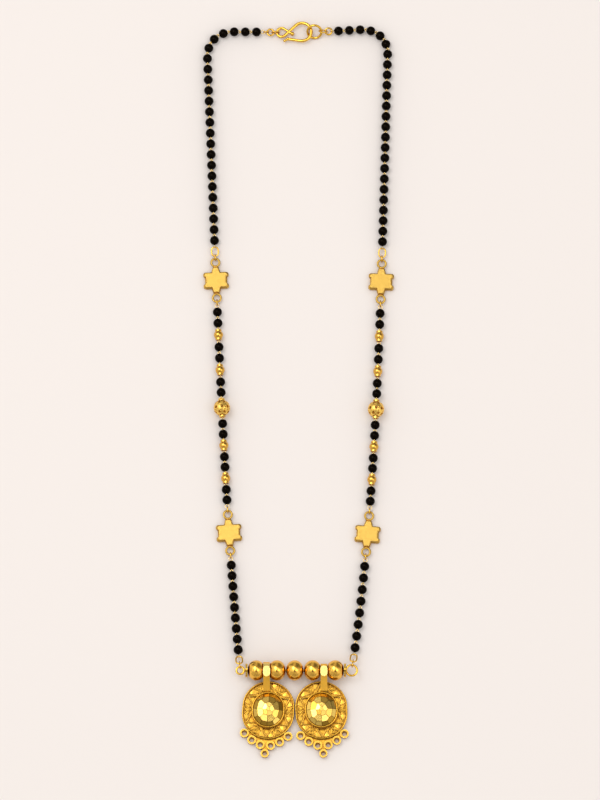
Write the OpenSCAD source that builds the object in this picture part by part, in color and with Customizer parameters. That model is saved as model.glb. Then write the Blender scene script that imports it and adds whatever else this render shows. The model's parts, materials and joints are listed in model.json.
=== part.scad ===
// Mangalsutra: a long loop of black beads on gold eye pins, with cast gold stars,
// gold balls, a bar of five gold balls and two round gold pendants, lying flat.
// Sizes in millimetres. +Z is up, +Y runs from the pendants to the clasp.

/* [Black beads] */
// Diameter of a black bead
bead_d = 3.7; // [3.4:0.1:4.2]
// Beads in each upper string, left then right
upper_count = [24, 25]; // [20:1:30]
// Beads in each lower string, left then right
lower_count = [9, 8]; // [5:1:14]
// Pitch of the beads in the upper strings, left then right
upper_pitch = [4.52, 4.4]; // [4.3:0.02:4.8]
// Pitch of the beads in the middle sections, above and below the filigree ball
middle_pitch = [4.6, 4.25]; // [4.2:0.05:4.9]
// Pitch of the beads in the lower strings, left then right
lower_pitch = [4.32, 4.76]; // [4.3:0.02:4.8]
// Bore through a bead
bead_bore = 0.7; // [0.5:0.05:1]

/* [Eye pins] */
// Wire of the pins
pin_wire = 0.26; // [0.22:0.01:0.32]
// Radius of a small loop, to the middle of its wire
loop_r = 0.52; // [0.46:0.01:0.56]
// Radius of the larger loop at the end of a string, to the middle of its wire
end_loop_r = 0.78; // [0.72:0.02:0.9]
// Slack between the loops of two pins
pin_slack = 0.25; // [0.18:0.01:0.26]
// Slack between two links at each other joint
slack = 0.18; // [0.14:0.01:0.25]
// Least gap between two loose pieces
clear_gap = 0.12; // [0.1:0.01:0.2]

/* [Gold beads] */
// Diameter of a small gold ball
gold_d = 3.9; // [3.5:0.1:4.5]
// Diameter of a filigree ball
filigree_d = 6.6; // [6:0.1:7.6]
// Wall of the hollow gold beads
gold_wall = 0.5; // [0.4:0.05:0.8]
// Length of the collar at each end of a small gold ball
collar_l = 0.3; // [0.2:0.05:0.5]
// Length of the collar at each end of a filigree ball
filigree_collar_l = 0.5; // [0.2:0.05:0.8]

/* [Stars] */
// Half width of a star across the chain
star_half_w = 5.1; // [4.6:0.1:6]
// Half length of the lobes along the chain
star_half_l = 3.35; // [3:0.05:4]
// Thickness of a star
star_t = 2.4; // [1.8:0.1:3]
// Radius of the lobes' rounded corners
lobe_r = 1; // [0.7:0.05:1.3]
// From a star's middle to the middle of each ring
star_reach = 7.4; // [7:0.1:9]
// Height of a star's rings above the surface
star_ring_z = 1.5; // [1:0.05:1.6]
// Radius of a star's rings, to the middle of the wire
star_ring_r = 1.62; // [1.5:0.02:1.9]
// Wire of a star's rings
star_ring_wire = 0.85; // [0.7:0.05:1]

/* [Links] */
// Wire of the small links
link_wire = 0.5; // [0.4:0.05:0.6]
// Radius of the edge-on links, to the middle of the wire
edge_link_r = 1.1; // [1:0.05:1.3]
// Straight stretch of the edge-on links
edge_link_flat = 0.9; // [0.5:0.1:1.5]
// Wire of the flat rings
ring_wire = 0.7; // [0.5:0.05:0.8]
// Radius of the flat rings, to the middle of the wire
ring_r = 1.32; // [1.2:0.02:1.6]
// Straight stretch of the oval links above the stars
oval_flat = 1.1; // [0.6:0.1:1.6]
// Straight stretch of the links at the bar, left then right
bar_link_flat = [1.05, 1.15]; // [0.7:0.05:1.4]

/* [Clasp] */
// Wire of the hook
hook_wire = 1.3; // [1.2:0.05:1.4]
// Radius of the hook's bend, to the middle of the wire
hook_r = 3.8; // [3.4:0.1:4.6]
// Wire of the hook's eye
eye_wire = 1.1; // [0.9:0.05:1.2]
// Radius of the hook's eye, to the middle of the wire
eye_r = 1.84; // [1.7:0.02:2.2]
// From the eye's middle to the middle of the bend
hook_reach = 8.28; // [7.8:0.1:9.5]
// Wire of the clasp ring
clasp_ring_wire = 1; // [0.9:0.05:1.1]
// Radius of the clasp ring, to the middle of the wire
clasp_ring_r = 2.8; // [2.6:0.05:3.2]
// Tilt of the clasp ring as it lies across the hook
clasp_ring_roll = 41; // [39:1:46]

/* [Bar] */
// Diameter of the balls on the bar
ball_d = 8.1; // [7.4:0.1:9]
// Length of a ball along the bar
ball_l = 6.65; // [6.2:0.05:7.4]
// Wall of the hollow balls
ball_wall = 0.6; // [0.4:0.05:0.9]
// Gaps between the five balls
ball_gaps = [1.5, 0.4, 0.4, 2.3]; // [0.1:0.05:3]
// Wire of the bar
bar_wire = 1.2; // [0.9:0.05:1.4]
// Radius of the bar's end loops, left then right, to the middle of the wire
bar_loop_r = [1.5, 2.15]; // [1.4:0.05:2.4]
// Wire of the bar's end loops
bar_loop_wire = 0.8; // [0.6:0.05:0.9]
// Diameter of the washers at the bar's ends
washer_d = 5.4; // [4:0.1:6.5]
// Thickness of the washers
washer_t = 0.8; // [0.5:0.05:1.2]

/* [Pendants] */
// Radius of a pendant's disc, at its sides
disc_r = 10.25; // [9.8:0.05:11.5]
// How much longer than wide the disc is, as a half length
disc_oval = 1.35; // [0.2:0.05:1.6]
// Thickness of the back plate
plate_t = 1.1; // [0.9:0.1:1.5]
// Height of the rim
rim_h = 2; // [1.7:0.1:2.5]
// Wall of the rim and bezel
rim_wall = 0.5; // [0.4:0.05:0.7]
// Radius of the bezel, at its sides
bezel_r = 6.45; // [5.8:0.05:7]
// How much longer than wide the bezel is, as a half length
bezel_oval = 0.75; // [0.2:0.05:1.2]
// Height of the bezel
bezel_h = 3; // [2.6:0.1:3.6]
// Height of the faceted dome above the bezel's seat
dome_h = 2.5; // [2:0.1:3.2]
// Gap between the two pendants
pendant_gap = 0.5; // [0.15:0.05:1.5]
// From the bar to a pendant's middle
pendant_drop = 15.6; // [15:0.1:18]
// Turn of each pendant's pattern, left then right
pendant_turn = [-4.5, 2.5]; // [-8:0.5:8]
// Width of the bail's strap round the bar
strap_w = 2.6; // [2:0.1:2.8]
// Width of the strap where it meets the bezel
strap_end_w = 2.8; // [2.2:0.05:3.6]
// Thickness of the strap
strap_t = 0.5; // [0.4:0.05:0.7]
// Thickness of the boss on top of the strap
boss_t = 0.55; // [0.45:0.05:0.8]
// How much longer than wide the boss is, as a half length
boss_oval = 0.7; // [0.3:0.05:0.9]
// Outer diameter of the six tube settings along the rim
tube_d = 3.45; // [3:0.05:3.7]
// Outer diameter of the lowest tube setting
drop_tube_d = 3.2; // [2.8:0.1:3.6]
// Angles of the tube settings to each side of straight down
tube_angles = [8.35, 24, 41.3]; // [5:0.5:50]
// Distances of these tube settings from the pendant's middle
tube_reach = [14.2, 13.55, 13.1]; // [12.6:0.05:15]
// Distance of the lowest tube setting from the pendant's middle
drop_reach = 17.4; // [16.8:0.1:18.4]
// Height of the tube settings
tube_h = 1.9; // [1.5:0.1:2.4]
// Width of the tubes' mouths
tube_mouth_d = 2.3; // [2:0.1:2.6]
// Width of the tubes' bores at the back
tube_bore_d = 1.4; // [1:0.1:2]

/* [Ornament] */
// Repeats of the star pattern round the band
sector_count = 6; // [5:1:8]
// Metal left behind the sunk triangles
backing_t = 0.4; // [0.3:0.05:0.6]
// Thickness of the raised wires
relief_wire = 0.46; // [0.35:0.02:0.6]
// Height of the raised petals above the plate
petal_h = 0.75; // [0.4:0.05:1]
// Outer diameter of the larger curls
curl_d = 1.75; // [1.3:0.05:2.2]
// Diameter of the small grains
grain_d = 0.7; // [0.5:0.05:0.9]

/* [Lay] */
// Path from the clasp to the start of each top corner, left then right
corner_start = [20.4, 20]; // [16:0.1:24]
// Path length of each top corner, left then right
corner_run = [15.6, 15.3]; // [14:0.5:24]
// Slope of the top run away from the clasp, left then right
top_slope = [-0.5, -3]; // [-6:0.5:4]
// Inward lean of each side below its corner, left then right
side_lean = [2.2, 1.7]; // [0:0.1:6]
// Further lean that each side gains towards the bar, left then right
side_bow = [3.2, 6.6]; // [0:0.2:8]
// How far the bar lies to the right of the middle
bar_x = -0.6; // [-2:0.1:2]
// How far the clasp lies to the right of the middle
clasp_x = 0.2; // [-2:0.1:2]

/* [Hidden] */
$fn = 40;
LEFT = 0;
RIGHT = 1;
FLAT = 0;
EDGE_ON = 90;
GOLD = [0.93, 0.68, 0.2];
BLACK = [0.06, 0.06, 0.06];

// Heights of the pieces' middles above the surface
bead_z = bead_d / 2;
gold_z = gold_d / 2;
filigree_z = filigree_d / 2;
bar_z = ball_d / 2;
edge_link_z = edge_link_r + link_wire / 2 + 0.05;
star_link_z = star_ring_z + 0.1;
eye_z = edge_link_z;
clasp_ring_z = clasp_ring_r * sin(clasp_ring_roll) + clasp_ring_wire / 2 + 0.02;

// An item of a strand: [kind, first loop radius, its wire, its roll, its height,
// length between the loops' middles, last loop radius, wire, roll, height, first loop to bead middle]
KIND = 0;
R1 = 1;
W1 = 2;
ROLL1 = 3;
Z1 = 4;
SPAN = 5;
R2 = 6;
W2 = 7;
ROLL2 = 8;
Z2 = 9;
MID = 10;

// Distance between the middles of two linked loops
function joint(ra, wa, rb, wb) = ra + rb - (wa + wb) / 2 - (wa == wb && ra == rb ? pin_slack : slack);
small_joint = 2 * loop_r - pin_wire - pin_slack;

// A bead's mouth, as far from its middle as the loop's pit cuts it
function mouth(d, pit) = sqrt(d * d / 4 - pit * pit);
pit_r = loop_r + pin_wire / 2 + clear_gap;
bead_mouth = mouth(bead_d, pit_r - 0.05);
gold_half = gold_d / 2 + collar_l - 0.15;
filigree_half = filigree_d / 2 + filigree_collar_l;

// Distance from a bead's middle to the middle of its end loop
function end_reach(half) = half + end_loop_r + clear_gap;

// A bead on its pin inside a string, with small loops at both ends
function bead_item(kind, pitch, za, zb) = [
    kind, loop_r, pin_wire, FLAT, za, pitch - small_joint, loop_r, pin_wire, EDGE_ON, zb,
    (pitch - small_joint) / 2];
// The same with a larger first or last loop
function first_bead(kind, pitch, half, roll, za, zb) = [
    kind, end_loop_r, pin_wire, roll, za, end_reach(half) + (pitch - small_joint) / 2,
    loop_r, pin_wire, EDGE_ON, zb, end_reach(half)];
function last_bead(kind, pitch, half, roll, za, zb) = [
    kind, loop_r, pin_wire, FLAT, za, (pitch - small_joint) / 2 + end_reach(half),
    end_loop_r, pin_wire, roll, zb, (pitch - small_joint) / 2];
function link_item(r, wire, straight, roll, za, zb) = [
    "link", r, wire, roll, za, straight, r, wire, roll, zb, straight / 2];
star_item = ["star", star_ring_r, star_ring_wire, FLAT, star_ring_z, 2 * star_reach,
    star_ring_r, star_ring_wire, FLAT, star_ring_z, star_reach];

// Strings as lists of items, from the clasp to the bar
function string(kind, count, pitch, first_roll, last_roll) = [
    for (i = [0:count - 1])
        i == 0 ? first_bead(kind, pitch, bead_mouth, first_roll, bead_z, bead_z)
            : i == count - 1 ? last_bead(kind, pitch, bead_mouth, last_roll, bead_z, bead_z)
            : bead_item(kind, pitch, bead_z, bead_z)];

function gold_pitch(pitch) = pitch + 2 * (gold_half - bead_mouth);
function filigree_pitch(pitch) = pitch + 2 * (filigree_half - bead_mouth);
lift = filigree_z - bead_z - 0.1;
above = middle_pitch[0];
below = middle_pitch[1];
middle_string = [
    first_bead("bead", above, bead_mouth, FLAT, bead_z, bead_z),
    bead_item("bead", above, bead_z, bead_z),
    bead_item("gold", gold_pitch(above), gold_z, gold_z),
    bead_item("bead", above, bead_z, bead_z),
    bead_item("bead", above, bead_z, bead_z),
    bead_item("gold", gold_pitch(above), gold_z, gold_z),
    bead_item("bead", above, bead_z, bead_z + 0.25 * lift),
    bead_item("bead", above, bead_z + 0.33 * lift, bead_z + lift),
    bead_item("filigree", filigree_pitch((above + below) / 2), filigree_z, filigree_z),
    bead_item("bead", below, bead_z + lift, bead_z + 0.33 * lift),
    bead_item("bead", below, bead_z + 0.25 * lift, bead_z),
    bead_item("gold", gold_pitch(below), gold_z, gold_z),
    bead_item("bead", below, bead_z, bead_z),
    bead_item("bead", below, bead_z, bead_z),
    bead_item("gold", gold_pitch(below), gold_z, gold_z),
    bead_item("bead", below, bead_z, bead_z),
    last_bead("bead", below, bead_mouth, FLAT, bead_z, bead_z),
];

// The links between the strings and the stars, and at the bar
above_star = [
    link_item(ring_r, ring_wire - 0.1, oval_flat, FLAT, bead_z - 0.1, star_link_z + 0.05),
    link_item(edge_link_r, link_wire, edge_link_flat / 2, EDGE_ON, star_link_z, star_link_z),
];
beside_star = [link_item(edge_link_r, link_wire, edge_link_flat / 4, EDGE_ON, star_link_z, star_link_z)];
bar_rise = bar_z - bead_z;
function bar_links(side) = [
    link_item(ring_r - 0.05, ring_wire - 0.1, bar_link_flat[side], FLAT,
        bead_z + 0.289 * bar_rise, bead_z + 0.48 * bar_rise),
    link_item(edge_link_r - 0.1, link_wire, bar_link_flat[side], EDGE_ON,
        bead_z + 0.75 * bar_rise, bead_z + 0.94 * bar_rise),
];
clasp_links = [
    [
        link_item(edge_link_r, link_wire, edge_link_flat, EDGE_ON, edge_link_z, edge_link_z),
        link_item(ring_r, ring_wire, 0, FLAT, edge_link_z + 0.05, edge_link_z + 0.05),
        link_item(edge_link_r - 0.2, link_wire - 0.1, edge_link_flat / 2, EDGE_ON, bead_z - 0.3, bead_z - 0.2),
    ],
    [
        link_item(edge_link_r + 0.14, link_wire, edge_link_flat, clasp_ring_roll - 90, clasp_ring_z + 0.15,
            clasp_ring_z - 0.1),
        link_item(ring_r, ring_wire, 0, clasp_ring_roll / 2, bead_z + 0.1, bead_z + 0.1),
    ],
];

// The end of each strand is a loop of the bar
function bar_end(side) = ["bar", bar_loop_r[side], bar_loop_wire, FLAT, bar_z, 0,
    bar_loop_r[side], bar_loop_wire, FLAT, bar_z, 0];

function strand(side) = concat(
    clasp_links[side],
    string("bead", upper_count[side], upper_pitch[side], side == LEFT ? FLAT : EDGE_ON, EDGE_ON),
    above_star, [star_item], beside_star,
    middle_string,
    beside_star, [star_item], beside_star,
    string("bead", lower_count[side], lower_pitch[side], FLAT, EDGE_ON),
    bar_links(side), [bar_end(side)]);

// The loop that each strand hangs from: the hook's eye on the left, the clasp ring on the right
clasp_start = [
    ["eye", 0, 0, 0, 0, 0, eye_r, eye_wire, FLAT, eye_z, 0],
    ["ring", 0, 0, 0, 0, 0, clasp_ring_r, clasp_ring_wire, FLAT, clasp_ring_z, 0],
];

// Heading of a strand at a path length from the clasp: 0 is outward, 90 is towards the pendants
side_l = 254;
function corner_share(side, s) = min(1, max(0, (s - corner_start[side]) / corner_run[side]));
function side_share(side, s) = max(0, s - corner_start[side] - corner_run[side]) / side_l;
function heading(side, s) = top_slope[side]
    + (90 + side_lean[side] - top_slope[side]) * corner_share(side, s)
    + side_bow[side] * pow(side_share(side, s), 3);
function toward(h) = [cos(h), -sin(h)];

// Length in plan of a step that also changes height
function in_plan(length, rise) = sqrt(length * length - rise * rise);

// Places every item of a strand, in plan, with the outward side as +X:
// [place of the first loop, heading, place of the last loop]
function place(side, items, before, i, at, s) =
    i == len(items) ? [] :
    let (
        item = items[i],
        gap = in_plan(joint(before[R2], before[W2], item[R1], item[W1]), item[Z1] - before[Z2]),
        run = in_plan(item[SPAN], item[Z2] - item[Z1]),
        h = heading(side, s + gap + run / 2),
        h_before = heading(side, s - 1),
        first = at + gap * toward((h + h_before) / 2),
        last = first + run * toward(h))
    concat([[first, h, last]], place(side, items, item, i + 1, last, s + gap + run));

strands = [strand(LEFT), strand(RIGHT)];
laid = [for (side = [LEFT, RIGHT]) place(side, strands[side], clasp_start[side], 0, [0, 0], 0)];
function end_of(list) = list[len(list) - 1];

// The clasp: the ring sits in the hook's bend, clear of its wire
clasp_ring_x = hook_reach + hook_r - (hook_wire + clasp_ring_wire) / 2 + clasp_ring_r - 0.34;
clasp_pitch = asin((clasp_ring_z - eye_z) / clasp_ring_x);
clasp_half = clasp_ring_x * cos(clasp_pitch) / 2;

// The bar: washers, balls and gaps in a row between its two loops
ball_r = ball_l / 2;
ball_flat = ball_d / 2 - ball_r;
balls_l = 5 * ball_l + ball_gaps[0] + ball_gaps[1] + ball_gaps[2] + ball_gaps[3];
loop_stub = [bar_loop_r[LEFT] + bar_loop_wire / 2 + 0.2, bar_loop_r[RIGHT] + 0.1];
bar_l = loop_stub[LEFT] + washer_t + clear_gap + balls_l + clear_gap + washer_t + loop_stub[RIGHT];
balls_start = -bar_l / 2 + loop_stub[LEFT] + washer_t + clear_gap;
function gaps_before(i) = i == 0 ? 0 : ball_gaps[i - 1] + gaps_before(i - 1);
function ball_x(i) = balls_start + (i + 0.5) * ball_l + gaps_before(i);

// Each strand turns about the clasp until its end meets the bar's loop
function swing(side, half_bar) =
    let (reach = end_of(laid[side])[0], shift = side == LEFT ? clasp_x - bar_x : bar_x - clasp_x)
    acos((half_bar + shift - clasp_half) / norm(reach)) + atan2(reach[1], reach[0]);
function turned(p, a) = [p[0] * cos(a) + p[1] * sin(a), p[1] * cos(a) - p[0] * sin(a)];
function drop(side, half_bar) = -turned(end_of(laid[side])[0], swing(side, half_bar))[1];
bar_tilt = asin((drop(LEFT, bar_l / 2) - drop(RIGHT, bar_l / 2)) / bar_l);
half_bar = bar_l / 2 * cos(bar_tilt);
swings = [swing(LEFT, half_bar), swing(RIGHT, half_bar)];
bar_drop = (drop(LEFT, half_bar) + drop(RIGHT, half_bar)) / 2;

// The middle of the whole lay is the origin
clasp_top = hook_r + hook_wire / 2;
pendant_foot = pendant_drop + drop_reach + drop_tube_d / 2;
clasp_y = (bar_drop + pendant_foot - clasp_top) / 2;
bar_y = clasp_y - bar_drop;

// An item's place in the model's frame: [x, y] of a point of a strand
function in_frame(side, p) =
    let (q = turned(p, swings[side]), out = q[0] + clasp_half)
    [clasp_x + (side == LEFT ? -out : out), q[1] + clasp_y];
function frame_heading(side, h) =
    let (a = h + swings[side]) side == LEFT ? 180 + a : -a;

// Puts its children at an item's first loop, X along the item
module at_item(side, i) {
    item = strands[side][i];
    spot = laid[side][i];
    rise = item[SPAN] > 0 ? asin((item[Z2] - item[Z1]) / item[SPAN]) : 0;
    p = in_frame(side, spot[0]);
    translate([p[0], p[1], item[Z1]]) rotate([0, -rise, frame_heading(side, spot[1])]) children();
}

// Numbers of the items of one kind between two items of a strand
function picked(side, kind, from, to) = [for (i = [from:to]) if (strands[side][i][KIND] == kind) i];
function stars(side) = picked(side, "star", 0, len(strands[side]) - 1);
function upper_range(side) = [len(clasp_links[side]), stars(side)[0]];
function middle_range(side) = [stars(side)[0], stars(side)[1]];
function lower_range(side) = [stars(side)[1], len(strands[side]) - 1];

// A ring of round wire in the XY plane, and one stretched along X
module wire_ring(r, wire) {
    rotate_extrude() translate([r, 0]) circle(d = wire);
}
module wire_link(r, wire, straight) {
    if (straight == 0) wire_ring(r, wire);
    else {
        rotate([0, 0, 90]) rotate_extrude(angle = 180) translate([r, 0]) circle(d = wire);
        translate([straight, 0, 0]) rotate([0, 0, -90])
            rotate_extrude(angle = 180) translate([r, 0]) circle(d = wire);
        for (y = [-r, r]) translate([0, y, 0]) rotate([0, 90, 0]) cylinder(h = straight, d = wire);
    }
}

// An eye pin: a straight stem with a loop at each end
module eye_pin(item) {
    stem_start = item[R1];
    stem_end = item[SPAN] - item[R2];
    color(GOLD) {
        rotate([item[ROLL1], 0, 0]) wire_ring(item[R1], item[W1]);
        translate([item[SPAN], 0, 0]) rotate([item[ROLL2], 0, 0]) wire_ring(item[R2], item[W2]);
        translate([stem_start, 0, 0]) rotate([0, 90, 0])
            cylinder(h = stem_end - stem_start, d = pin_wire - 0.05);
    }
}

// The outline that a bead's bore and the pits round its pin's loops take away
module pin_room(item) {
    square([bead_bore, 4 * item[SPAN]], center = true);
    translate([0, item[MID] - item[SPAN]]) circle(r = item[R2] + item[W2] / 2 + clear_gap);
    translate([0, item[MID]]) circle(r = item[R1] + item[W1] / 2 + clear_gap);
}
// Spins a bead's outline about the X axis
module spun_bead(item, half) {
    translate([item[MID], 0, 0]) rotate([0, -90, 0]) rotate_extrude() intersection() {
        translate([0, -2 * half]) square([2 * half, 4 * half]);
        difference() {
            children();
            pin_room(item);
        }
    }
}
module black_bead(item) {
    color(BLACK) spun_bead(item, bead_d) circle(d = bead_d);
}
// A hollow ball with a collar at each mouth
module collared_outline(d, collar_d, collar_reach, wall) {
    difference() {
        union() {
            circle(d = d);
            square([collar_d, d + 2 * collar_reach], center = true);
        }
        circle(d = d - 2 * wall);
    }
}
module gold_bead(item) {
    color(GOLD) spun_bead(item, gold_d)
        collared_outline(gold_d - 0.2, 2 * pit_r + 2 * gold_wall, collar_l, gold_wall);
}
// Rows of holes in the filigree ball: [degrees from the middle, holes, share of the diameter]
hole_rows = [[0, 8, 0.19], [38, 8, 0.16], [-38, 8, 0.16], [65, 6, 0.095], [-65, 6, 0.095]];
module filigree_bead(item) {
    color(GOLD) difference() {
        spun_bead(item, filigree_d)
            collared_outline(filigree_d, 2 * pit_r + 2 * gold_wall, filigree_collar_l, gold_wall);
        translate([item[MID], 0, 0]) for (row = hole_rows) for (k = [0:row[1] - 1])
            rotate([(k + (row[0] == 0 ? 0 : 0.5)) * 360 / row[1], 0, 0]) rotate([0, row[0], 0])
                cylinder(h = filigree_d, d = row[2] * filigree_d);
    }
}

// A star, its first ring's middle at the origin
neck_w = 2 * (star_ring_r - 0.55);
neck_half = [
    [star_half_l - lobe_r, neck_w], [star_half_l + 0.3, 0.8 * neck_w], [star_reach - star_ring_r, neck_w / 2]];
neck_corners = concat(neck_half, [for (i = [2:-1:0]) [neck_half[i][0], -neck_half[i][1]]]);
module star_outline() {
    lobe_x = star_half_l - lobe_r;
    lobe_y = star_half_w - lobe_r;
    notch_y = star_half_w - 0.65 * lobe_r;
    for (sx = [-1, 1]) {
        for (sy = [-1, 1]) translate([sx * lobe_x, sy * lobe_y]) circle(r = lobe_r);
        translate([sx * lobe_x, 0]) square([2 * lobe_r, 2 * lobe_y], center = true);
        polygon([for (corner = neck_corners) [sx * corner[0], corner[1]]]);
    }
    square([2 * lobe_x, 2 * notch_y], center = true);
}
module star() {
    edge_h = 0.62 * star_t;
    color(GOLD) {
        translate([star_reach, 0, -star_ring_z]) {
            linear_extrude(edge_h) star_outline();
            translate([0, 0, edge_h / 2]) scale([0.985, 0.985, 1])
                linear_extrude(star_t - edge_h / 2, scale = 0.9) star_outline();
        }
        wire_ring(star_ring_r, star_ring_wire);
        translate([2 * star_reach, 0, 0]) wire_ring(star_ring_r, star_ring_wire);
    }
}

// The hook, its eye at the origin: eye, slanting stem, round bend, straight return and ball tip
module rod_between(a, b, wire) {
    d = b - a;
    translate([a[0], a[1], 0]) rotate([0, 0, atan2(d[1], d[0])]) rotate([0, 90, 0])
        cylinder(h = norm(d), d = wire);
}
// A rod that runs on past both its ends, into the wires that it meets there
rod_overlap = 0.3;
module lapped_rod(a, b, wire) {
    past = rod_overlap / norm(b - a) * (b - a);
    rod_between(a - past, b + past, wire);
}
module wire_arc(r, wire, from, sweep) {
    rotate([0, 0, from]) rotate_extrude(angle = sweep) translate([r, 0]) circle(d = wire);
}
module wire_end(p, d) {
    translate([p[0], p[1], 0]) sphere(d = d);
}
module clasp_hook() {
    lean = acos((hook_r + eye_r) / hook_reach);
    rod_wire = hook_wire - 0.1;
    stem_foot = eye_r * [cos(lean), -sin(lean)];
    stem_head = [hook_reach - hook_r * cos(lean), hook_r * sin(lean)];
    return_slope = 10;
    return_start = [hook_reach - hook_r * sin(return_slope), -hook_r * cos(return_slope)];
    return_l = hook_reach - eye_r - hook_wire;
    return_end = return_start + return_l * [-cos(return_slope), sin(return_slope)];
    tip = return_end + hook_wire * [-1, -0.55];
    // The eye's wire leaves it in a straight end with a drop of metal on it
    drop_angle = -9;
    drop_share = 2.4;
    eye_from = drop_angle + acos(1 / drop_share);
    drop_top = eye_r * [cos(eye_from), sin(eye_from)];
    drop_end = drop_share * eye_r * [cos(drop_angle), sin(drop_angle)];
    color(GOLD) clasp_frame() {
        wire_arc(eye_r, eye_wire, eye_from, 360 - lean - eye_from);
        lapped_rod(stem_foot, stem_head, rod_wire);
        translate([hook_reach, 0, 0])
            wire_arc(hook_r, hook_wire, -90 - return_slope, 270 + return_slope - lean);
        lapped_rod(return_start, return_end, rod_wire);
        wire_end(return_end, hook_wire + 0.1);
        rod_between(return_end, tip, rod_wire - 0.2);
        wire_end(tip, hook_wire - 0.15);
        lapped_rod(drop_top, drop_end, eye_wire - 0.1);
        wire_end(drop_end, hook_wire + 0.4);
    }
}
// Puts its children where the clasp lies, the hook's eye at their origin
module clasp_frame() {
    translate([clasp_x - clasp_half, clasp_y, eye_z]) rotate([0, -clasp_pitch, 0]) children();
}
module clasp_ring() {
    color(GOLD) clasp_frame() translate([clasp_ring_x, 0, 0]) rotate([clasp_ring_roll, 0, 0])
        wire_ring(clasp_ring_r, clasp_ring_wire);
}

// Puts its children in the bar's frame: X along it, at its own height
module bar_frame() {
    translate([bar_x, bar_y, bar_z]) rotate([0, 0, bar_tilt]) children();
}
module bar() {
    rod_start = -bar_l / 2 + bar_loop_r[LEFT];
    rod_end = bar_l / 2 - bar_loop_r[RIGHT];
    color(GOLD) bar_frame() {
        for (side = [LEFT, RIGHT])
            translate([(side == LEFT ? -1 : 1) * bar_l / 2, 0, 0]) wire_ring(bar_loop_r[side], bar_loop_wire);
        translate([rod_start, 0, 0]) rotate([0, 90, 0]) cylinder(h = rod_end - rod_start, d = bar_wire);
        for (x = [balls_start - clear_gap - washer_t, balls_start + balls_l + clear_gap])
            translate([x, 0, 0]) rotate([0, 90, 0]) cylinder(h = washer_t, d = washer_d);
    }
}
module bar_ball(i) {
    bore_r = bar_wire / 2 + clear_gap;
    color(GOLD) bar_frame() translate([ball_x(i), 0, 0]) rotate([0, 90, 0]) rotate_extrude() difference() {
        union() {
            translate([ball_flat, 0]) circle(r = ball_r);
            translate([0, -ball_r]) square([ball_flat, ball_l]);
        }
        translate([ball_flat, 0]) circle(r = ball_r - ball_wall);
        translate([bore_r - 2 * ball_d, -ball_d]) square([2 * ball_d, 2 * ball_d]);
    }
}

// A disc stretched along Y, half its added length given as stretch
module oval_disc(r, stretch) {
    for (y = [-stretch, stretch]) translate([0, y]) circle(r = r);
    square([2 * r, 2 * stretch], center = true);
}
// A round wire bent to the same oval
module oval_wire(r, wire, stretch) {
    rotate([0, 0, 90]) translate([-stretch, 0, 0]) wire_link(r, wire, 2 * stretch);
}
// A point of the ornament band: degrees round it, and 0 at the bezel to 1 at the rim
band_in = bezel_r;
band_out = disc_r - rim_wall;
function band_point(a, t) =
    let (r = band_in + (band_out - band_in) * t, stretch = bezel_oval + (disc_oval - bezel_oval) * t)
    [r * cos(a), (r + stretch) * sin(a)];

// One ridge of raised wire between two points of the band
module ridge(a, b) {
    translate([0, 0, plate_t + 0.1]) rod_between(a, b, relief_wire);
}
// One repeat of the ornament: a V of wire round a sunk triangle, two petals and a curl in an arch
v_half = 19;
module sunk_triangle(a) {
    translate([0, 0, backing_t]) linear_extrude(plate_t) polygon([
        band_point(a - v_half + 5, 0.08), band_point(a + v_half - 5, 0.08), band_point(a, 0.72)]);
}
module petal(a, side) {
    corners = [
        band_point(a + side * 2.5, 0.94), band_point(a + side * 16, 0.94), band_point(a + side * 19.5, 0.3)];
    middle = (corners[0] + corners[1] + corners[2]) / 3;
    swell = 3.2;
    intersection() {
        translate([0, 0, plate_t / 2]) linear_extrude(plate_t) polygon(corners);
        translate([middle[0], middle[1], plate_t + petal_h - swell]) sphere(r = swell);
    }
}
module ornament(a) {
    half_sector = 180 / sector_count;
    for (side = [-1, 1]) {
        ridge(band_point(a + side * v_half, -0.02), band_point(a, 0.93));
        petal(a, side);
        ridge(band_point(a + half_sector, 0.36), band_point(a + half_sector + side * 10.5, 1.02));
        translate(concat(band_point(a + half_sector + side * 6.5, 0.3), plate_t + 0.1)) sphere(d = grain_d);
    }
    translate(concat(band_point(a + half_sector, 0.74), plate_t + 0.12))
        wire_ring((curl_d - relief_wire) / 2, relief_wire);
    translate(concat(band_point(a + half_sector, 0.1), plate_t + 0.12))
        wire_ring((curl_d - relief_wire) / 3, relief_wire);
}

// Facet rings of the dome: [degrees above the horizon of each facet's normal, facets, turn in degrees]
facet_rings = [[57, 12, 15], [76.5, 8, 22], [85, 5, 10], [90, 1, 0]];
module dome() {
    seat_z = plate_t;
    base_r = bezel_r - rim_wall + 0.1;
    centre_z = bezel_h - 0.9;
    difference() {
        translate([0, 0, seat_z]) linear_extrude(centre_z + dome_h - seat_z) oval_disc(base_r, bezel_oval);
        for (ring = facet_rings) for (k = [0:ring[1] - 1]) {
            a = ring[2] + k * 360 / ring[1];
            n = [cos(ring[0]) * cos(a), cos(ring[0]) * sin(a), sin(ring[0])];
            reach = norm([base_r * n[0], (base_r + bezel_oval) * n[1], dome_h * n[2]]);
            translate(concat([0, 0], centre_z) + reach * n) rotate([0, 90 - ring[0], a])
                translate([-2 * base_r, -2 * base_r, 0]) cube(4 * base_r);
        }
    }
}

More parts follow.
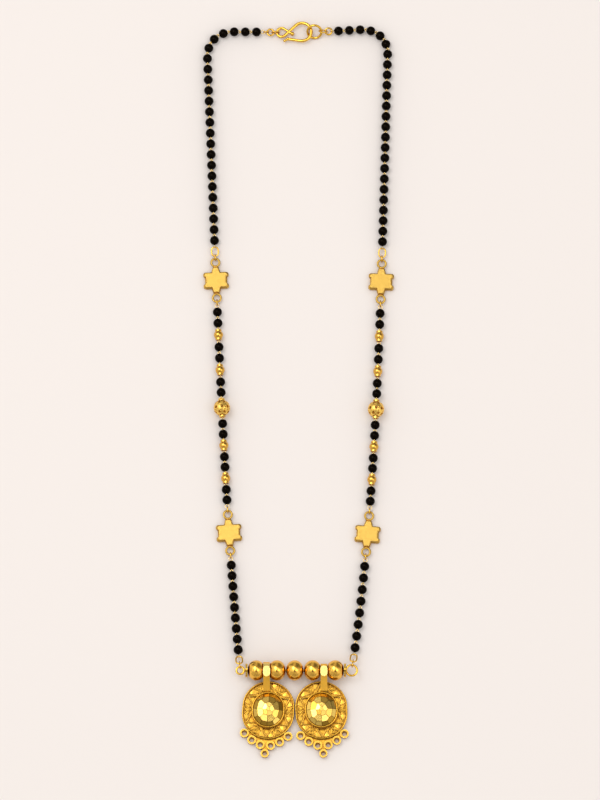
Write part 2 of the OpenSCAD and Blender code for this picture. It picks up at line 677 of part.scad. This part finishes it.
// Tube settings below the disc: [middle, outer diameter], in a row and one below it
function tube_place(a, reach) = [reach * sin(a), -reach * cos(a)];
tube_row = concat(
    [for (k = [2:-1:0]) tube_place(-tube_angles[k], tube_reach[k])],
    [for (k = [0:2]) tube_place(tube_angles[k], tube_reach[k])]);
tube_drop = tube_place(0, drop_reach);
tubes = concat([for (p = tube_row) [p, tube_d]], [[tube_drop, drop_tube_d]]);
module tube_body(tube) {
    translate(tube[0]) cylinder(h = tube_h, d = tube[1]);
}
module tube_bore(tube) {
    bore_share = tube[1] / tube_d;
    translate(concat(tube[0], -0.1))
        cylinder(h = tube_h + 0.2, d1 = tube_bore_d * bore_share, d2 = tube_mouth_d * bore_share);
}
// The web of metal that joins the tubes to the rim
module tube_web() {
    inner = 0.8 * disc_r;
    linear_extrude(plate_t - 0.15) polygon(concat(
        [for (k = [0:2]) tube_row[k]], [tube_drop], [for (k = [3:5]) tube_row[k]],
        [[0.75 * inner, -inner], [-0.75 * inner, -inner]]));
}

// The disc of a pendant with its tubes, middle at the origin, back at Z = 0
module pendant_disc(turn) {
    rotate([0, 0, turn]) difference() {
        union() {
            linear_extrude(plate_t) oval_disc(disc_r, disc_oval);
            linear_extrude(rim_h) difference() {
                oval_disc(disc_r, disc_oval);
                oval_disc(disc_r - rim_wall, disc_oval);
            }
            translate([0, 0, rim_h]) oval_wire(disc_r - rim_wall / 2, rim_wall + 0.06, disc_oval);
            linear_extrude(bezel_h) difference() {
                oval_disc(bezel_r, bezel_oval);
                oval_disc(bezel_r - rim_wall, bezel_oval);
            }
            translate([0, 0, bezel_h]) oval_wire(bezel_r - rim_wall / 2, rim_wall + 0.06, bezel_oval);
            dome();
            for (k = [0:sector_count - 1]) ornament(-90 + k * 360 / sector_count);
            for (tube = tubes) tube_body(tube);
            tube_web();
        }
        for (k = [0:sector_count - 1]) sunk_triangle(-90 + k * 360 / sector_count);
        for (tube = tubes) tube_bore(tube);
    }
}

// The strap: a ring round the bar between two balls, a tail down to the bezel and an oval boss
module strap(ball_gap) {
    strap_edge = ball_r + (ball_gap - strap_w) / 2;
    strap_r = ball_flat + sqrt(pow(ball_r + clear_gap + 0.02, 2) - pow(strap_edge, 2));
    strap_out = strap_r + strap_t;
    foot = [pendant_drop - bezel_r - bezel_oval + 0.35, bar_z - bezel_h + 0.35];
    reach = norm(foot);
    slope = atan2(foot[1], foot[0]) + asin(strap_out / reach);
    tail_l = sqrt(reach * reach - strap_out * strap_out);
    boss_place = 18;
    boss_tilt = 6;
    rotate([0, 90, 0]) difference() {
        cylinder(h = strap_w, r = strap_out, center = true);
        cylinder(h = 2 * strap_w, r = strap_r, center = true);
    }
    rotate([boss_place, 0, 0]) translate([0, 0, strap_out - 0.3]) rotate([boss_tilt - boss_place, 0, 0])
        linear_extrude(boss_t) oval_disc(strap_w / 2 + 0.1, boss_oval);
    rotate([slope, 0, 0]) translate([0, 0, strap_r + 0.06]) linear_extrude(strap_t - 0.12) polygon([
        [-strap_w / 2 + 0.03, 0.3], [strap_w / 2 - 0.03, 0.3],
        [strap_end_w / 2, -tail_l], [-strap_end_w / 2, -tail_l]]);
}
module pendant(side) {
    first_ball = side == LEFT ? 0 : 3;
    strap_x = (ball_x(first_ball) + ball_x(first_ball + 1)) / 2;
    disc_x = ball_x(2) + (side == LEFT ? -1 : 1) * (disc_r + pendant_gap / 2);
    color(GOLD) bar_frame() {
        translate([disc_x, -pendant_drop, -bar_z]) pendant_disc(pendant_turn[side] - bar_tilt);
        translate([strap_x, 0, 0]) strap(ball_gaps[first_ball]);
    }
}

// Draws every item of one kind in a stretch of a strand
module items(side, kind, range) {
    for (i = picked(side, kind, range[0], range[1])) at_item(side, i) {
        item = strands[side][i];
        if (kind == "link") rotate([item[ROLL1], 0, 0]) color(GOLD) wire_link(item[R1], item[W1], item[SPAN]);
        if (kind == "bead") black_bead(item);
        if (kind == "gold") gold_bead(item);
        if (kind == "filigree") filigree_bead(item);
        if (kind == "star") star();
    }
}
module pins(side, range) {
    for (kind = ["bead", "gold", "filigree"]) for (i = picked(side, kind, range[0], range[1]))
        at_item(side, i) eye_pin(strands[side][i]);
}
module clasp_link(side, i) {
    items(side, "link", [i, i]);
}
module gold_ball(side, k) {
    i = picked(side, "gold", 0, len(strands[side]) - 1)[k];
    items(side, "gold", [i, i]);
}
module star_at(side, k) {
    items(side, "star", [stars(side)[k], stars(side)[k]]);
}
module star_links(side, k) {
    i = stars(side)[k];
    items(side, "link", [i - 2, i + 1]);
}
module bar_link_pair(side) {
    items(side, "link", [lower_range(side)[0] + 2, lower_range(side)[1]]);
}

clasp_hook();
clasp_ring();
clasp_link(LEFT, 0);  // clasp_link_left_1
clasp_link(LEFT, 1);  // clasp_link_left_2
clasp_link(LEFT, 2);  // clasp_link_left_3
clasp_link(RIGHT, 0);  // clasp_link_right_1
clasp_link(RIGHT, 1);  // clasp_link_right_2
items(LEFT, "bead", upper_range(LEFT));  // beads_upper_left
items(RIGHT, "bead", upper_range(RIGHT));  // beads_upper_right
items(LEFT, "bead", middle_range(LEFT));  // beads_middle_left
items(RIGHT, "bead", middle_range(RIGHT));  // beads_middle_right
items(LEFT, "bead", lower_range(LEFT));  // beads_lower_left
items(RIGHT, "bead", lower_range(RIGHT));  // beads_lower_right
pins(LEFT, upper_range(LEFT));  // pins_upper_left
pins(RIGHT, upper_range(RIGHT));  // pins_upper_right
pins(LEFT, middle_range(LEFT));  // pins_middle_left
pins(RIGHT, middle_range(RIGHT));  // pins_middle_right
pins(LEFT, lower_range(LEFT));  // pins_lower_left
pins(RIGHT, lower_range(RIGHT));  // pins_lower_right
gold_ball(LEFT, 0);  // gold_ball_left_1
gold_ball(LEFT, 1);  // gold_ball_left_2
gold_ball(LEFT, 2);  // gold_ball_left_3
gold_ball(LEFT, 3);  // gold_ball_left_4
gold_ball(RIGHT, 0);  // gold_ball_right_1
gold_ball(RIGHT, 1);  // gold_ball_right_2
gold_ball(RIGHT, 2);  // gold_ball_right_3
gold_ball(RIGHT, 3);  // gold_ball_right_4
items(LEFT, "filigree", middle_range(LEFT));  // filigree_ball_left
items(RIGHT, "filigree", middle_range(RIGHT));  // filigree_ball_right
star_at(LEFT, 0);  // star_upper_left
star_at(RIGHT, 0);  // star_upper_right
star_at(LEFT, 1);  // star_lower_left
star_at(RIGHT, 1);  // star_lower_right
star_links(LEFT, 0);  // star_links_upper_left
star_links(RIGHT, 0);  // star_links_upper_right
star_links(LEFT, 1);  // star_links_lower_left
star_links(RIGHT, 1);  // star_links_lower_right
bar_link_pair(LEFT);  // bar_links_left
bar_link_pair(RIGHT);  // bar_links_right
bar();
bar_ball(0);  // bar_ball_1
bar_ball(1);  // bar_ball_2
bar_ball(2);  // bar_ball_3
bar_ball(3);  // bar_ball_4
bar_ball(4);  // bar_ball_5
pendant(LEFT);  // pendant_left
pendant(RIGHT);  // pendant_right
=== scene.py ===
"""A mangalsutra laid flat on a pale floor: black beads, gold stars and balls, a bar and two pendants."""
import json
import math

import bpy
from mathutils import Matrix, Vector

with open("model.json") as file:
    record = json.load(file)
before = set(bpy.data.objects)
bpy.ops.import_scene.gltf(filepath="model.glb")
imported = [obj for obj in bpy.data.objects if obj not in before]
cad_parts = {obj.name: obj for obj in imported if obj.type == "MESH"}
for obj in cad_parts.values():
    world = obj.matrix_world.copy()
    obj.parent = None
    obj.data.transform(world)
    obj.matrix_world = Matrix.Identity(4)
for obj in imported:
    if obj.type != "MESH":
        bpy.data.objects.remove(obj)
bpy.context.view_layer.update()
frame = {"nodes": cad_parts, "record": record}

MM = 0.001
PENDANTS = ("pendant_left", "pendant_right")
# Half the width and half the length of a pendant's dome
DOME_REACH = {"X": 5.9 * MM, "Y": 6.65 * MM}


def disc_middle(name):
    """The (x, y) of a pendant's disc, whose back carries a mount at its middle."""
    mounts = {mount["name"]: mount["pos_m"] for mount in frame["record"]["mounts"]}
    return mounts[name + "_back"][:2]


# Node helpers
def add_node(tree, kind, inputs=None):
    """A new node. A named input is set to its value, or linked to it where that is a node's output."""
    node = tree.nodes.new(kind)
    for name, value in (inputs or {}).items():
        if isinstance(value, bpy.types.NodeSocket):
            tree.links.new(value, node.inputs[name])
        else:
            node.inputs[name].default_value = value
    return node


def new_material(name, inputs):
    """A material of one principled shader with its inputs set."""
    material = bpy.data.materials.new(name)
    material.use_nodes = True
    tree = material.node_tree
    tree.nodes.clear()
    shader = add_node(tree, "ShaderNodeBsdfPrincipled", inputs)
    add_node(tree, "ShaderNodeOutputMaterial", {"Surface": shader.outputs["BSDF"]})
    return material, tree, shader


def noise(tree, scale, detail=3.0, roughness=0.5, place=None):
    """Noise over the place on the object, or over another vector."""
    if place is None:
        place = add_node(tree, "ShaderNodeTexCoord").outputs["Object"]
    texture = add_node(tree, "ShaderNodeTexNoise", {
        "Vector": place, "Scale": scale, "Detail": detail, "Roughness": roughness})
    return texture.outputs["Fac"]


def remap(tree, value, span, to_span=(0.0, 1.0)):
    """A value carried from one span to another, and held at its ends."""
    node = add_node(tree, "ShaderNodeMapRange", {
        "Value": value, "From Min": span[0], "From Max": span[1], "To Min": to_span[0], "To Max": to_span[1]})
    return node.outputs["Result"]


def calculate(tree, operation, *values):
    node = add_node(tree, "ShaderNodeMath", dict(enumerate(values)))
    node.operation = operation
    return node.outputs[0]


def mix_colour(tree, factor, low, high):
    """A mix of two colours, each a tuple or a node's output."""
    node = add_node(tree, "ShaderNodeMix", {"Factor": factor})
    node.data_type = "RGBA"
    colour_inputs = [socket for socket in node.inputs if socket.type == "RGBA"]
    for socket, colour in zip(colour_inputs, (low, high)):
        if isinstance(colour, tuple):
            socket.default_value = (*colour, 1.0)
        else:
            tree.links.new(colour, socket)
    return [socket for socket in node.outputs if socket.type == "RGBA"][0]


def inside_dome(tree, place, middle):
    """1 within the oval of a pendant's dome and 0 outside it. place is a split position."""
    shares = [calculate(tree, "DIVIDE", calculate(tree, "SUBTRACT", place.outputs[axis], middle[number]),
                        DOME_REACH[axis]) for number, axis in enumerate("XY")]
    squares = [calculate(tree, "MULTIPLY", share, share) for share in shares]
    return calculate(tree, "LESS_THAN", calculate(tree, "ADD", *squares), 1.0)


def rounded_normal(tree, radius, samples):
    """The way that the surface would face if its edges were rounded."""
    node = add_node(tree, "ShaderNodeBevel", {"Radius": radius})
    node.samples = samples
    return node.outputs["Normal"]


def bump(tree, shader, height, depth, strength=1.0, edge_radius=0.0):
    """Bump from a height, over edges rounded to edge_radius where one is given."""
    inputs = {"Height": height, "Distance": depth, "Strength": strength}
    if edge_radius:
        inputs["Normal"] = rounded_normal(tree, edge_radius, EDGE_SAMPLES)
    node = add_node(tree, "ShaderNodeBump", inputs)
    tree.links.new(node.outputs["Normal"], shader.inputs["Normal"])


def occlusion(tree, distance, inside=False):
    """How open a point lies: low in a recess or, seen from inside the solid, at a sharp edge."""
    node = add_node(tree, "ShaderNodeAmbientOcclusion", {"Distance": distance})
    node.inside = inside
    node.samples = OCCLUSION_SAMPLES
    return node.outputs["AO"]


# Gold
EDGE_SAMPLES = 6
FACET_EDGE_SAMPLES = 8
OCCLUSION_SAMPLES = 8
# The spans of occlusion between a recess and the open, for the painted shade, and between a sharp edge and a
# flat, for the painted highlight
OPEN_SPAN = (0.30, 0.90)
EDGE_HIGHLIGHT_SPAN = (0.45, 0.85)
# The share and the pale gold of the painted highlight along sharp edges
EDGE_HIGHLIGHT_SHARE = 0.85
EDGE_HIGHLIGHT_GOLD = (0.93, 0.66, 0.20)
# The part of a noise's range that holds nearly all of its values
NOISE_SPAN = (0.3, 0.7)
PATCH_SCALE, PATCH_DETAIL = 900.0, 4.0
GRAIN_DETAIL, GRAIN_ROUGHNESS = 5.0, 0.6


def gold(name, shaded_gold, bright, rough, recess, grain=None, edge_highlight=0.0, edge_radius=0.0):
    """Gold with painted shade, a deeper orange-brown, in its recesses, a fine grain, and a painted highlight,
    paler, along its sharp edges.

    recess is the width of the painted shade in a recess, the edge highlight's width that of the painted
    highlight along a sharp edge, and grain is the surface's (scale, depth).
    """
    material, tree, shader = new_material(name, {"Metallic": 1.0})
    # Painted shade: a darker orange-brown mixed in where occlusion finds a recess
    openness = remap(tree, occlusion(tree, recess), OPEN_SPAN)
    tint = mix_colour(tree, openness, shaded_gold, bright)
    # Painted highlight: a paler gold mixed in along sharp edges
    if edge_highlight:
        edge = remap(tree, occlusion(tree, edge_highlight, inside=True), EDGE_HIGHLIGHT_SPAN, (EDGE_HIGHLIGHT_SHARE, 0.0))
        tint = mix_colour(tree, calculate(tree, "MULTIPLY", edge, openness), tint, EDGE_HIGHLIGHT_GOLD)
    tree.links.new(tint, shader.inputs["Base Color"])
    roughness = remap(tree, noise(tree, PATCH_SCALE, PATCH_DETAIL), NOISE_SPAN, rough)
    tree.links.new(roughness, shader.inputs["Roughness"])
    if grain:
        scale, depth = grain
        surface = noise(tree, scale, GRAIN_DETAIL, GRAIN_ROUGHNESS)
        bump(tree, shader, surface, depth, edge_radius=edge_radius)
    return material, tree, shader, tint, roughness


# The domes' facets, each lit or shaded in painted light by the way it faces, with painted shade along the
# edge between two facets
DOME_SHADED_GOLD = (0.44, 0.25, 0.032)
DOME_LIT_GOLD = (0.94, 0.64, 0.15)
FACET_SCALE = 13.0
FACET_SPAN = (0.34, 0.60)
FACET_EDGE_SHADE_GOLD = (0.16, 0.07, 0.008)
FACET_EDGE_REACH = 0.34 * MM
FACET_EDGE_SPAN = (0.008, 0.035)
FACET_EDGE_SHARE = 0.9


def painted_facet_light(tree):
    """Painted light and shade: a lighter or darker gold for each facet, from the way it faces, with painted
    shade along the edge between two facets.
    """
    facing = add_node(tree, "ShaderNodeNewGeometry").outputs["True Normal"]
    lightness = remap(tree, noise(tree, FACET_SCALE, detail=0.0, place=facing), FACET_SPAN)
    facet = mix_colour(tree, lightness, DOME_SHADED_GOLD, DOME_LIT_GOLD)
    # Painted shade: a dark gold along the edge between two facets
    turned = add_node(tree, "ShaderNodeVectorMath", {
        0: rounded_normal(tree, FACET_EDGE_REACH, FACET_EDGE_SAMPLES), 1: facing})
    turned.operation = "DISTANCE"
    edge_shade = remap(tree, turned.outputs["Value"], FACET_EDGE_SPAN, (0.0, FACET_EDGE_SHARE))
    return mix_colour(tree, edge_shade, facet, FACET_EDGE_SHADE_GOLD)


# The strap starts this far above the disc's middle and this high, and its boss is what lies above BOSS_HEIGHT
STRAP_FOOT = 7.2 * MM
STRAP_HEIGHT = 3.0 * MM
BOSS_HEIGHT = 6.3 * MM
# Painted light: the strap in a lighter gold, and a painted highlight of pale gold on its boss
STRAP_LIT_GOLD = (0.97, 0.55, 0.07)
BOSS_HIGHLIGHT_GOLD = (0.92, 0.68, 0.22)
# How much smoother the dome and rougher the strap is than the cast band
DOME_POLISH = 0.16
STRAP_SATIN = 0.26


def pendant_gold(pendant):
    """Cast gold with polished facets on the dome in painted light and shade, and a satin strap in painted
    light with a painted highlight on its boss.
    """
    material, tree, shader, tint, roughness = gold(
        pendant.replace("pendant", "pendant_gold"),
        shaded_gold=(0.24, 0.085, 0.010), bright=(0.61, 0.345, 0.040), rough=(0.20, 0.32),
        recess=1.1 * MM, grain=(5200.0, 0.02 * MM), edge_highlight=0.22 * MM)
    middle = disc_middle(pendant)
    position = add_node(tree, "ShaderNodeTexCoord").outputs["Object"]
    place = add_node(tree, "ShaderNodeSeparateXYZ", {"Vector": position})
    on_dome = inside_dome(tree, place, middle)
    on_strap = calculate(tree, "MULTIPLY",
                         calculate(tree, "GREATER_THAN", place.outputs["Y"], middle[1] + STRAP_FOOT),
                         calculate(tree, "GREATER_THAN", place.outputs["Z"], STRAP_HEIGHT))
    on_boss = calculate(tree, "GREATER_THAN", place.outputs["Z"], BOSS_HEIGHT)
    # Painted light and shade on the dome's facets, painted light on the strap and a painted highlight on the
    # boss
    tint = mix_colour(tree, on_dome, tint, painted_facet_light(tree))
    tint = mix_colour(tree, on_strap, tint, STRAP_LIT_GOLD)
    tint = mix_colour(tree, on_boss, tint, BOSS_HIGHLIGHT_GOLD)
    tree.links.new(tint, shader.inputs["Base Color"])
    polished = calculate(tree, "SUBTRACT", roughness, calculate(tree, "MULTIPLY", on_dome, DOME_POLISH))
    satin = calculate(tree, "MULTIPLY", calculate(tree, "SUBTRACT", on_strap, on_boss), STRAP_SATIN)
    tree.links.new(calculate(tree, "ADD", polished, satin), shader.inputs["Roughness"])
    return material


PIT_SCALE = 1050.0
PIT_SPAN = (0.10, 0.42)
PIT_DEPTH = 0.16 * MM
PIT_SHADE_GOLD = (0.42, 0.15, 0.015)


def filigree_gold():
    """Gold with the irregular pits of filigree work, with painted shade inside them."""
    material, tree, shader, tint, _ = gold(
        "filigree_gold", shaded_gold=(0.30, 0.09, 0.008), bright=(0.95, 0.61, 0.13), rough=(0.26, 0.38),
        recess=0.7 * MM)
    place = add_node(tree, "ShaderNodeTexCoord").outputs["Object"]
    cells = add_node(tree, "ShaderNodeTexVoronoi", {"Vector": place, "Scale": PIT_SCALE})
    height = remap(tree, cells.outputs["Distance"], PIT_SPAN)
    # Painted shade: a dark gold at the bottom of each pit
    tree.links.new(mix_colour(tree, height, PIT_SHADE_GOLD, tint), shader.inputs["Base Color"])
    bump(tree, shader, height, PIT_DEPTH)
    return material


# Black glass
GLASS_ROUGH = (0.05, 0.10)
GLASS_PATCH_SCALE = 700.0
GLASS_WAVE_SCALE, GLASS_WAVE_DETAIL = 1200.0, 2.0
GLASS_WAVE_DEPTH, GLASS_WAVE_STRENGTH = 0.01 * MM, 0.6


def black_glass():
    """Near-black beads with a low, warm gloss that is a little uneven."""
    material, tree, shader = new_material("black_glass", {
        "Base Color": (0.0020, 0.0012, 0.0007, 1.0),
        "IOR": 1.16,
        "Specular IOR Level": 0.28,
        "Specular Tint": (1.0, 0.82, 0.62, 1.0),
    })
    roughness = remap(tree, noise(tree, GLASS_PATCH_SCALE), NOISE_SPAN, GLASS_ROUGH)
    tree.links.new(roughness, shader.inputs["Roughness"])
    waves = noise(tree, GLASS_WAVE_SCALE, GLASS_WAVE_DETAIL)
    bump(tree, shader, waves, GLASS_WAVE_DEPTH, GLASS_WAVE_STRENGTH)
    return material


# The material of each CAD node, by the start of its name
SATIN_GOLD = gold("satin_gold", shaded_gold=(0.40, 0.13, 0.010), bright=(0.57, 0.36, 0.076), rough=(0.34, 0.48),
                  recess=0.8 * MM, grain=(2600.0, 0.05 * MM), edge_highlight=0.2 * MM, edge_radius=0.55 * MM)[0]
POLISHED_GOLD = gold("polished_gold", shaded_gold=(0.34, 0.09, 0.007), bright=(0.90, 0.51, 0.085),
                     rough=(0.11, 0.18), recess=1.3 * MM, grain=(3000.0, 0.002 * MM))[0]
BEAD_GOLD = gold("bead_gold", shaded_gold=(0.26, 0.05, 0.005), bright=(0.74, 0.42, 0.073), rough=(0.10, 0.17),
                 recess=1.6 * MM, grain=(3000.0, 0.002 * MM), edge_highlight=0.2 * MM, edge_radius=0.25 * MM)[0]
WIRE_GOLD = gold("wire_gold", shaded_gold=(0.30, 0.09, 0.008), bright=(0.80, 0.48, 0.072), rough=(0.14, 0.22),
                 recess=0.6 * MM, grain=(3000.0, 0.003 * MM))[0]
PALE_WIRE = gold("pale_wire", shaded_gold=(0.50, 0.26, 0.06), bright=(0.90, 0.66, 0.25), rough=(0.16, 0.26),
                 recess=0.3 * MM, grain=(3000.0, 0.003 * MM))[0]
MATERIALS = {
    "beads": black_glass(),
    "pins": PALE_WIRE,
    "bar_ball": POLISHED_GOLD,
    "filigree": filigree_gold(),
    "gold_ball": BEAD_GOLD,
    "star_links": WIRE_GOLD,
    "star": SATIN_GOLD,
    **{pendant: pendant_gold(pendant) for pendant in PENDANTS},
}


def material_for(name):
    for start, material in MATERIALS.items():
        if name.startswith(start):
            return material
    return WIRE_GOLD


# Smooth shading of the CAD nodes
SHARP_ANGLE = 32.0
FACET_ANGLE = 3.5
MERGE_DISTANCE = 0.0005 * MM


def smooth_by_angle(name, dome=None):
    """A geometry node group that joins split corners and shades smooth, with the sharp edges kept sharp.

    Within dome, given by the (x, y) of its middle, the edges between facets count as sharp too.
    """
    group = bpy.data.node_groups.new(name, "GeometryNodeTree")
    for side in ("INPUT", "OUTPUT"):
        group.interface.new_socket("Geometry", in_out=side, socket_type="NodeSocketGeometry")
    angle = add_node(group, "GeometryNodeInputMeshEdgeAngle").outputs["Unsigned Angle"]
    sharp = calculate(group, "GREATER_THAN", angle, math.radians(SHARP_ANGLE))
    if dome:
        position = add_node(group, "GeometryNodeInputPosition").outputs["Position"]
        place = add_node(group, "ShaderNodeSeparateXYZ", {"Vector": position})
        facet = calculate(group, "MULTIPLY", inside_dome(group, place, dome),
                          calculate(group, "GREATER_THAN", angle, math.radians(FACET_ANGLE)))
        sharp = calculate(group, "MAXIMUM", sharp, facet)
    start = add_node(group, "NodeGroupInput")
    cleared = add_node(group, "GeometryNodeRemoveAttribute", {
        "Geometry": start.outputs[0], "Name": "custom_normal"})
    merged = add_node(group, "GeometryNodeMergeByDistance", {
        "Geometry": cleared.outputs["Geometry"], "Distance": MERGE_DISTANCE})
    smooth = add_node(group, "GeometryNodeSetShadeSmooth", {"Geometry": merged.outputs["Geometry"]})
    edges = add_node(group, "GeometryNodeSetShadeSmooth", {
        "Geometry": smooth.outputs["Geometry"], "Selection": sharp, "Shade Smooth": False})
    edges.domain = "EDGE"
    add_node(group, "NodeGroupOutput", {0: edges.outputs["Geometry"]})
    return group


SMOOTH = smooth_by_angle("smooth_by_angle")
FACETED = {name: smooth_by_angle(name + "_facets", disc_middle(name)) for name in PENDANTS}
for name, node in frame["nodes"].items():
    node.data.materials.clear()
    node.data.materials.append(material_for(name))
    modifier = node.modifiers.new("smooth", "NODES")
    modifier.node_group = FACETED.get(name, SMOOTH)


# Floor
def make_floor():
    bpy.ops.mesh.primitive_plane_add(size=6.0)
    floor = bpy.context.object
    floor.name = "floor"
    material = new_material("pale_floor", {
        "Base Color": (0.815, 0.758, 0.722, 1.0), "Roughness": 0.85, "Specular IOR Level": 0.1})[0]
    floor.data.materials.append(material)


# Light. A patch is what mirrors in the metal: its span in the directions' x and in their y, its soft edge,
# and the light that it adds or the share that it leaves
LIGHT_PATCHES = (
    ((-0.97, -0.12), (-0.40, 0.62), 0.10, 0.45),
    ((-0.50, -0.03), (-0.20, 0.34), 0.05, 1.6),
    ((0.04, 0.40), (-0.28, 0.30), 0.05, 1.5),
    ((0.50, 0.97), (-0.62, 0.05), 0.12, 0.40),
)
DARK_PATCHES = (
    ((-0.16, 0.16), (-0.52, -0.08), 0.05, 0.12),
    ((0.20, 1.10), (0.36, 1.10), 0.08, 0.38),
    ((-1.10, -0.30), (0.66, 1.10), 0.08, 0.60),
)
ROOM_COLOUR = (1.0, 0.97, 0.93, 1.0)
ROOM_LEVEL = 0.60
# The room is a little darker towards its near end
NEAR_SPAN = (-0.9, -0.5)
NEAR_SHARE = 0.85
# Size and range of the uneven tones of the room, which make each facet a little lighter or darker
UNEVEN_SCALE, UNEVEN_DETAIL = 4.5, 1.0
UNEVEN_RANGE = (0.55, 1.45)
EVEN_COLOUR = (1.0, 0.985, 0.97, 1.0)
EVEN_LEVEL = 0.9
# Name, place, side and power
LAMPS = (
    ("key", (-0.36, 0.22, 1.0), 0.5, 2.6),
    ("fill", (0.6, -0.3, 1.1), 0.6, 1.4),
)


def make_world():
    """Even light for the floor, and a room of light and dark patches for what mirrors in the metal."""
    world = bpy.data.worlds.new("studio")
    bpy.context.scene.world = world
    world.use_nodes = True
    tree = world.node_tree
    tree.nodes.clear()
    way = add_node(tree, "ShaderNodeTexCoord").outputs["Generated"]
    split = add_node(tree, "ShaderNodeSeparateXYZ", {"Vector": way})

    def band(axis, span, soft):
        """1 within a span of an axis and 0 outside it."""
        middle, half = sum(span) / 2, (span[1] - span[0]) / 2
        off = calculate(tree, "ABSOLUTE", calculate(tree, "SUBTRACT", split.outputs[axis], middle))
        return remap(tree, off, (half - soft, half + soft), (1.0, 0.0))

    def patch(x_span, y_span, soft):
        return calculate(tree, "MULTIPLY", band("X", x_span, soft), band("Y", y_span, soft))

    level = remap(tree, split.outputs["Y"], NEAR_SPAN, (NEAR_SHARE * ROOM_LEVEL, ROOM_LEVEL))
    for *bounds, strength in LIGHT_PATCHES:
        level = calculate(tree, "ADD", level, calculate(tree, "MULTIPLY", patch(*bounds), strength))
    for *bounds, share in DARK_PATCHES:
        shade = remap(tree, patch(*bounds), (0.0, 1.0), (1.0, share))
        level = calculate(tree, "MULTIPLY", level, shade)
    uneven = remap(tree, noise(tree, UNEVEN_SCALE, UNEVEN_DETAIL, place=way), NOISE_SPAN, UNEVEN_RANGE)
    level = calculate(tree, "MULTIPLY", level, uneven)
    even = add_node(tree, "ShaderNodeBackground", {"Color": EVEN_COLOUR, "Strength": EVEN_LEVEL})
    room = add_node(tree, "ShaderNodeBackground", {"Color": ROOM_COLOUR, "Strength": level})
    mirrored = add_node(tree, "ShaderNodeLightPath").outputs["Is Glossy Ray"]
    mix = add_node(tree, "ShaderNodeMixShader", {
        0: mirrored, 1: even.outputs["Background"], 2: room.outputs["Background"]})
    add_node(tree, "ShaderNodeOutputWorld", {"Surface": mix.outputs["Shader"]})


def make_lamp(name, place, side, power):
    """A square lamp that faces the middle of the floor."""
    data = bpy.data.lights.new(name, "AREA")
    data.shape = "RECTANGLE"
    data.size = data.size_y = side
    data.energy = power
    lamp = bpy.data.objects.new(name, data)
    bpy.context.scene.collection.objects.link(lamp)
    lamp.location = place
    lamp.rotation_mode = "QUATERNION"
    lamp.rotation_quaternion = (-Vector(place)).to_track_quat("-Z", "Y")


# Camera, at the photo's angle above the floor. PHOTO_SCALE is the size of a pixel and PHOTO_TARGET its middle
PHOTO_SCALE = 0.40 * MM
PHOTO_HEIGHT_PX = 800
PHOTO_TARGET = Vector((1.0, -6.1, 0.0)) * MM
SENSOR = 36.0
LENS = 300.0
ELEVATION = 75.0
CLIP_START, CLIP_END = 0.05, 20.0


def make_camera():
    data = bpy.data.cameras.new("camera")
    data.lens = LENS
    data.sensor_width = SENSOR
    data.clip_start, data.clip_end = CLIP_START, CLIP_END
    camera = bpy.data.objects.new("camera", data)
    bpy.context.scene.collection.objects.link(camera)
    bpy.context.scene.camera = camera
    elevation = math.radians(ELEVATION)
    back = Vector((0.0, -math.cos(elevation), math.sin(elevation)))
    distance = LENS / SENSOR * PHOTO_HEIGHT_PX * PHOTO_SCALE
    camera.location = PHOTO_TARGET + back * distance
    camera.rotation_mode = "QUATERNION"
    camera.rotation_quaternion = (-back).to_track_quat("-Z", "Y")


make_floor()
make_world()
for lamp in LAMPS:
    make_lamp(*lamp)
make_camera()
scene = bpy.context.scene
scene.view_settings.view_transform = "Standard"
scene.view_settings.look = "None"
